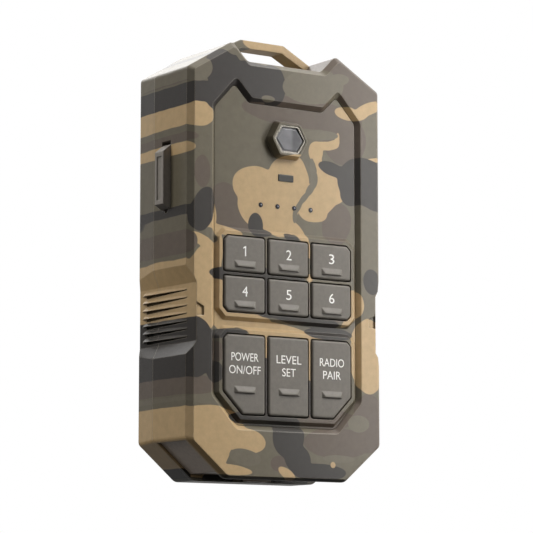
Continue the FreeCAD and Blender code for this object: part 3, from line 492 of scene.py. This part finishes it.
def mesh_cloth(name):
    """Woven acoustic mesh."""
    finish = Finish(name)
    place = finish.place()
    waves = []
    for direction in "YZ":
        wave = finish.add("ShaderNodeTexWave", bands_direction=direction)
        finish.plug(place, wave.inputs["Vector"])
        wave.inputs["Scale"].default_value = 0.9
        waves.append(wave.outputs["Fac"])
    weave = finish.math("MAXIMUM", *waves)
    finish.set(
        Base_Color=finish.mix(weave, rgb(12, 12, 12), rgb(52, 51, 49)),
        Roughness=0.85,
        Normal=finish.bump(weave, 0.6),
    )
    return finish.material


def sleeve(name):
    """Battery sleeve: dark wrap with a pale band and metal ends."""
    middle, half_wrap, band_height = 27.4, 21.0, 38.0
    finish = Finish(name)
    place = finish.place()
    z = finish.axes(place)["Z"]
    band = finish.remap(z, band_height, band_height + 0.2)
    wrap = finish.mix(band, rgb(58, 62, 66), rgb(178, 142, 70))
    ends = finish.math("ABSOLUTE", finish.math("SUBTRACT", z, middle))
    bare = finish.remap(ends, half_wrap, half_wrap + 0.1)
    finish.set(
        Base_Color=finish.mix(bare, wrap, rgb(190, 188, 182)),
        Metallic=finish.math("MAXIMUM", bare, 0.2),
        Roughness=finish.uneven(place, 2.0, 3, 0.28, 0.42),
        Normal=finish.rounded(0.3),
    )
    return finish.material


def legend_ink():
    """Pale ink with a little painted glow (emission), so that it reads as evenly white."""
    ink = plastic("legend_ink", rgb(252, 251, 248), 0.6, 0.05, 9.0, 0.02, 0.0)
    surface = ink.node_tree.nodes["Principled BSDF"]
    # Painted glow: the ink gives off light although it is no lamp.
    surface.inputs["Emission Color"].default_value = rgb(240, 238, 232)
    surface.inputs["Emission Strength"].default_value = 0.12
    return ink


SHELL = camo_material("camo_shell", tuple(LAYERS), 0.42)
PANEL = camo_material("camo_panel", PANEL_LAYERS, 0.2, 0.94)
RUBBER = plastic("key_rubber", rgb(120, 115, 108), 0.5, 0.16, 8.0, 0.45, 0.2)
FLAP = plastic("cover_rubber", rgb(152, 146, 139), 0.5, 0.2, 7.0, 0.4, 0.2, darkest_shade=0.9)
CAP = plastic("cap_plastic", rgb(208, 190, 174), 0.4, 0.3, 6.0, 0.4, 0.15, 0.6, 0.85)
LEGEND = legend_ink()
BLACK = plastic("black_plastic", rgb(30, 30, 31), 0.5, 0.3, 5.0, 0.15, 0.1)
SILICONE = plastic("grey_silicone", rgb(70, 70, 68), 0.65, 0.15, 4.0, 0.15, 0.05)
SEAL = plastic("black_seal", rgb(22, 22, 22), 0.7, 0.2, 5.0, 0.1, 0.03)
STEEL = metal("bright_steel", rgb(200, 198, 194), 0.28)
DARK_STEEL = metal("dark_steel", rgb(92, 92, 94), 0.36)
RING = metal("window_ring", rgb(150, 146, 138))
BRASS = metal("aerial_brass", rgb(196, 160, 92))
GREEN = board("green_board", rgb(24, 84, 52), rgb(44, 122, 78))
BLUE = board("blue_board", rgb(24, 52, 98), rgb(46, 84, 140))
WINDOW = glass("window_glass", rgb(150, 150, 154), 0.12, 0.93, painted_reflection_fade=0.35)
SENSOR = glass("sensor_resin", rgb(58, 52, 58), 0.12)
SMOKE = glass("smoked_guide", rgb(78, 78, 76), 0.18, frost=0.1)
STATUS = status_lens("status_lens", STATUS_PITCH, STATUS_HEIGHT)
LED = glass("led_resin", rgb(226, 214, 160), 0.2)
RED_WIRE = plastic("red_wire", rgb(150, 26, 24), 0.4, 0.1, 4.0, 0.1, 0.0)
MESH = mesh_cloth("acoustic_mesh")
SLEEVE = sleeve("battery_sleeve")

# Nodes that aren't listed here are keys.
LOOKS = {
    "front_shell": SHELL, "rear_shell": SHELL, "front_panel": PANEL, "shell_seal": SEAL,
    "case_screws": DARK_STEEL, "board_screws": STEEL, "window_ring": RING, "window_glass": WINDOW,
    "light_sensor": SENSOR, "indicator_stripe": SMOKE, "status_lights": STATUS, "indicator_leds": LED,
    "keypad_mat": SILICONE, "switch_domes": STEEL, "main_board": GREEN, "port_cover": FLAP,
    "port_cover_pin": STEEL, "socket_board": GREEN, "charge_socket": STEEL, "audio_socket": BLACK,
    "radio_board": BLUE, "radio_shield": STEEL, "antenna": BRASS, "amplifier_board": GREEN,
    "amplifier_parts": BLACK, "battery_cover": CAP, "cap_contacts": STEEL, "battery_tray": BLACK,
    "battery_cells": SLEEVE, "tray_contacts": STEEL, "battery_leads": RED_WIRE, "speaker_right": BLACK,
    "speaker_left": BLACK, "speaker_mesh_right": MESH, "speaker_mesh_left": MESH, "speaker_leads": SEAL,
}
for node_name, node in NODES.items():
    node.data.materials.clear()
    node.data.materials.append(LOOKS.get(node_name, RUBBER))


def add_piece(name, mesh, look, body=None):
    """New object with one material; without a body it still has to be blended."""
    mesh.materials.clear()
    mesh.materials.append(look)
    piece = bpy.data.objects.new(name, mesh)
    bpy.context.scene.collection.objects.link(piece)
    if body:
        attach(piece, body)
    return piece


# ---- keypad mat ----------------------------------------------------------------
BOOT_FOOT, BOOT_HEAD, BOOT_BORE = 3.6, 2.7, 2.3
BOOT_ROOF = 0.25
BOOT_GAP = 0.05
BOOT_STEPS = 40
KEY_BODIES = [body for body in frame["bodies"] if body.startswith("key_")]


def boot_centre(key):
    """Middle of a key across and up, and the depth of the boot's head just behind it."""
    low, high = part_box(key)
    return (low[0] + high[0]) / 2 / MM, high[1] / MM + BOOT_GAP, (low[2] + high[2]) / 2 / MM


def rubber_boot(key):
    """Hollow rubber boot under one key, from its foot on the mat to its head just behind the key."""
    x, head, z = boot_centre(key)
    profile = [
        (BOOT_HEAD - 0.12, head), (BOOT_HEAD - 0.03, head + 0.04), (BOOT_HEAD, head + 0.12),
        (BOOT_FOOT - 0.32, MAT_FRONT - 0.22), (BOOT_FOOT - 0.12, MAT_FRONT - 0.05), (BOOT_FOOT, MAT_FRONT),
        (BOOT_BORE, BOARD_FRONT), (BOOT_BORE, MAT_FRONT - BOOT_ROOF),
    ]
    count = len(profile)
    points, faces = [], []
    for i in range(BOOT_STEPS):
        turn = 2 * math.pi * i / BOOT_STEPS
        points += [Vector((x + r * math.cos(turn), y, z + r * math.sin(turn))) * MM for r, y in profile]
        here, there = i * count, (i + 1) % BOOT_STEPS * count
        faces += [(here + j, here + j + 1, there + j + 1, there + j) for j in range(count - 1)]
    faces.append(tuple(i * count for i in range(BOOT_STEPS)))
    faces.append(tuple(i * count + count - 1 for i in range(BOOT_STEPS))[::-1])
    mesh = bpy.data.meshes.new("mat_boot_" + key)
    mesh.from_pydata(points, [], faces)
    piece = add_piece("mat_boot_" + key, mesh, SILICONE)
    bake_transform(piece)


def mat_sheet():
    """Flat part of the rubber mat, taken from the CAD mat without its boots."""
    cut = bmesh.new()
    cut.from_mesh(NODES["keypad_mat"].data)
    bmesh.ops.remove_doubles(cut, verts=cut.verts, dist=1e-6)
    reach = BOOT_FOOT * MM + 1e-5
    for x, _, z in [boot_centre(key) for key in KEY_BODIES]:
        centre = Vector((x, z)) * MM
        boot = [f for f in cut.faces if all((v.co.xz - centre).length < reach for v in f.verts)]
        bmesh.ops.delete(cut, geom=boot, context="FACES")
        open_edges = [e for e in cut.edges if e.is_boundary]
        rims = [e for e in open_edges if all((v.co.xz - centre).length < reach for v in e.verts)]
        bmesh.ops.bridge_loops(cut, edges=rims)
    bmesh.ops.recalc_face_normals(cut, faces=cut.faces)
    for face in cut.faces:
        face.smooth = False
    mesh = bpy.data.meshes.new("mat_sheet")
    cut.to_mesh(mesh)
    cut.free()
    if "custom_normal" in mesh.attributes:
        mesh.attributes.remove(mesh.attributes["custom_normal"])
    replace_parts(add_piece("mat_sheet", mesh, SILICONE, "housing"), "keypad_mat")


mat_sheet()
for key_body in KEY_BODIES:
    rubber_boot(key_body)


# ---- printed legends -----------------------------------------------------------
INK = 0.024
LETTER_HEIGHT = 2.45
FIGURE_SIZE = (1.95, 3.0)


def legend(name, text, x, z, width, height, key):
    """Flat printed lettering fitted to a width and height on a key face."""
    curve = bpy.data.curves.new(name + "_text", "FONT")
    curve.body = text
    curve.extrude = INK / 2
    curve.resolution_u = 6
    holder = bpy.data.objects.new(name + "_text", curve)
    bpy.context.scene.collection.objects.link(holder)
    bpy.context.view_layer.update()
    shown = holder.evaluated_get(bpy.context.evaluated_depsgraph_get())
    mesh = bpy.data.meshes.new_from_object(shown)
    bpy.data.objects.remove(holder)
    outline = bmesh.new()
    outline.from_mesh(mesh)
    bmesh.ops.remove_doubles(outline, verts=outline.verts, dist=1e-5)
    outline.to_mesh(mesh)
    outline.free()
    xs = [v.co.x for v in mesh.vertices]
    ys = [v.co.y for v in mesh.vertices]
    scale_x = width / (max(xs) - min(xs))
    scale_z = height / (max(ys) - min(ys))
    mid_x, mid_y = (max(xs) + min(xs)) / 2, (max(ys) + min(ys)) / 2
    for v in mesh.vertices:
        depth = KEY_FACE - INK / 2 - v.co.z
        v.co = Vector((x + (v.co.x - mid_x) * scale_x, depth, z + (v.co.y - mid_y) * scale_z)) * MM
    add_piece(name, mesh, LEGEND, key)


def figure_one(x, z):
    """The figure 1, drawn as an outline because the built-in font shows it as a plain bar."""
    outline = [(0.2, -1.5), (0.2, 1.5), (-0.12, 1.5), (-0.82, 1.06), (-0.82, 0.68), (-0.2, 1.0), (-0.2, -1.5)]
    mesh = bpy.data.meshes.new("legend_1")
    points = [Vector((x + a, KEY_FACE - INK, z + b)) * MM for a, b in outline]
    mesh.from_pydata(points, [], [tuple(range(len(points)))])
    piece = add_piece("legend_1", mesh, LEGEND, "key_1")
    piece.modifiers.new("ink", "SOLIDIFY").thickness = INK * MM


figure_one(COLUMNS[0] + 0.15, NUMBER_ROWS[0])
for number in range(2, 7):
    row, column = divmod(number - 1, 3)
    place = COLUMNS[column], NUMBER_ROWS[row]
    legend(f"legend_{number}", str(number), *place, *FIGURE_SIZE, f"key_{number}")

# Two words on each command key, with their widths
COMMANDS = [
    ("key_power", ("POWER", 9.6), ("ON/OFF", 11.2)),
    ("key_set", ("LEVEL", 9.0), ("SET", 4.9)),
    ("key_pair", ("RADIO", 9.0), ("PAIR", 6.6)),
]
for x, (key_name, *words) in zip(COLUMNS, COMMANDS):
    for line, z, (word, width) in zip(("upper", "lower"), COMMAND_LINES, words):
        legend(f"{key_name}_legend_{line}", word, x, z, width, LETTER_HEIGHT, key_name)


# ---- floor, light and camera ---------------------------------------------------
def floor():
    """Pale sweep under the object, seen only by the camera and only from above."""
    half, level = 2.0, -0.0004
    mesh = bpy.data.meshes.new("floor")
    corners = [(x * half, y * half, level) for x, y in ((-1, -1), (1, -1), (1, 1), (-1, 1))]
    mesh.from_pydata(corners, [], [(0, 1, 2, 3)])
    finish = Finish("floor_paper")
    tint = finish.noise(finish.place(), 0.02, 3)
    finish.set(Base_Color=finish.mix(tint, rgb(244, 243, 241), rgb(250, 249, 248)), Roughness=0.9)
    side = finish.add("ShaderNodeNewGeometry")
    path = finish.add("ShaderNodeLightPath")
    hidden = finish.math("SUBTRACT", 1.0, path.outputs["Is Camera Ray"])
    blend = finish.add("ShaderNodeMixShader")
    finish.plug(finish.math("MAXIMUM", side.outputs["Backfacing"], hidden), blend.inputs[0])
    finish.plug(finish.surface.outputs[0], blend.inputs[1])
    finish.plug(finish.add("ShaderNodeBsdfTransparent").outputs[0], blend.inputs[2])
    finish.plug(blend.outputs[0], finish.tree.nodes["Material Output"].inputs["Surface"])
    mesh.materials.append(finish.material)
    sheet = bpy.data.objects.new("floor", mesh)
    bpy.context.scene.collection.objects.link(sheet)


MIDDLE = (0, 0, 0.066)
PANEL_TOP = (0.03, -0.02, 0.08)
WHITE = (1, 1, 1)
# Soft boxes: place and size in metres, watts, colour and aim
LIGHTS = {
    "key_light": ((0.45, -0.62, 0.75), (0.4, 0.4), 6.1, (1.0, 0.985, 0.955), MIDDLE),
    "sheen_light": ((0.145, -0.155, 0.10), (0.05, 0.22), 0.25, (1.0, 0.985, 0.96), PANEL_TOP),
    "back_light": ((0.16, 0.78, 0.50), (0.7, 0.45), 2.4, WHITE, MIDDLE),
    "rear_light": ((-0.34, 0.84, 0.16), (0.26, 0.5), 0.25, WHITE, MIDDLE),
    "low_light": ((-0.04, 0.66, -0.44), (0.4, 0.3), 0.1, WHITE, MIDDLE),
    "fill_light": ((-0.74, 0.30, 0.64), (0.6, 0.6), 4.4, (1.0, 0.98, 0.94), MIDDLE),
    "left_light": ((-0.75, -0.55, 0.20), (0.5, 0.5), 0.5, (1.0, 0.98, 0.95), MIDDLE),
}


def softbox(name, place, size, watts, colour, target):
    light = bpy.data.lights.new(name, "AREA")
    light.shape = "RECTANGLE"
    light.size, light.size_y = size
    light.energy = watts
    light.color = colour
    holder = bpy.data.objects.new(name, light)
    holder.location = place
    aim = Vector(target) - Vector(place)
    holder.rotation_euler = aim.to_track_quat("-Z", "Y").to_euler()
    holder.visible_camera = False
    bpy.context.scene.collection.objects.link(holder)


def surroundings():
    """White to the camera, dim to the surfaces, and bright overhead and behind right in reflections."""
    world = bpy.data.worlds.new("studio")
    bpy.context.scene.world = world
    world.use_nodes = True
    graph = Graph(world.node_tree)
    background = world.node_tree.nodes["Background"]
    direction = graph.add("ShaderNodeTexCoord").outputs["Generated"]
    up = graph.axes(direction)["Z"]
    behind_right = graph.dot(direction, (0.60, 0.55, 0.58))
    path = graph.add("ShaderNodeLightPath")
    ambient = graph.remap(up, -0.5, 0.6, 0.03, 0.12)
    overhead = graph.remap(up, 0.55, 0.85, 0.0, 1.8)
    mirrored = graph.math("ADD", graph.remap(behind_right, 0.3, 0.9, 0.03, 0.84), overhead)
    glossy = path.outputs["Is Glossy Ray"]
    seen = path.outputs["Is Camera Ray"]
    dull = graph.product(ambient, graph.math("SUBTRACT", 1.0, glossy))
    unseen = graph.math("ADD", dull, graph.product(mirrored, glossy))
    strength = graph.math("ADD", graph.product(unseen, graph.math("SUBTRACT", 1.0, seen)), seen)
    graph.plug(strength, background.inputs["Strength"])
    warm, white = (1.0, 0.975, 0.94, 1.0), (1.0, 1.0, 1.0, 1.0)
    graph.plug(graph.mix(seen, warm, white), background.inputs["Color"])


def camera():
    """View from the left front and slightly below, at a long focal length."""
    turn, tilt, distance = math.radians(-34.39), math.radians(-7.67), 756.0
    shift_right, shift_up, height = 6.476, 1.831, 65.8
    back = Vector((math.sin(turn) * math.cos(tilt), -math.cos(turn) * math.cos(tilt), math.sin(tilt)))
    right = (-back).cross(Vector((0, 0, 1))).normalized()
    up = right.cross(-back)
    place = back * distance - right * shift_right - up * shift_up + Vector((0, FRONT, height))
    data = bpy.data.cameras.new("camera")
    data.sensor_width = 36.0
    data.lens = 170.3
    data.clip_start = 0.01
    holder = bpy.data.objects.new("camera", data)
    turned = Matrix((right, up, back)).transposed().to_4x4()
    turned.translation = place * MM
    holder.matrix_world = turned
    bpy.context.scene.collection.objects.link(holder)
    bpy.context.scene.camera = holder


floor()
surroundings()
for light_name, settings in LIGHTS.items():
    softbox(light_name, *settings)
camera()
bpy.context.scene.view_settings.view_transform = "Standard"
bpy.context.scene.view_settings.look = "None"
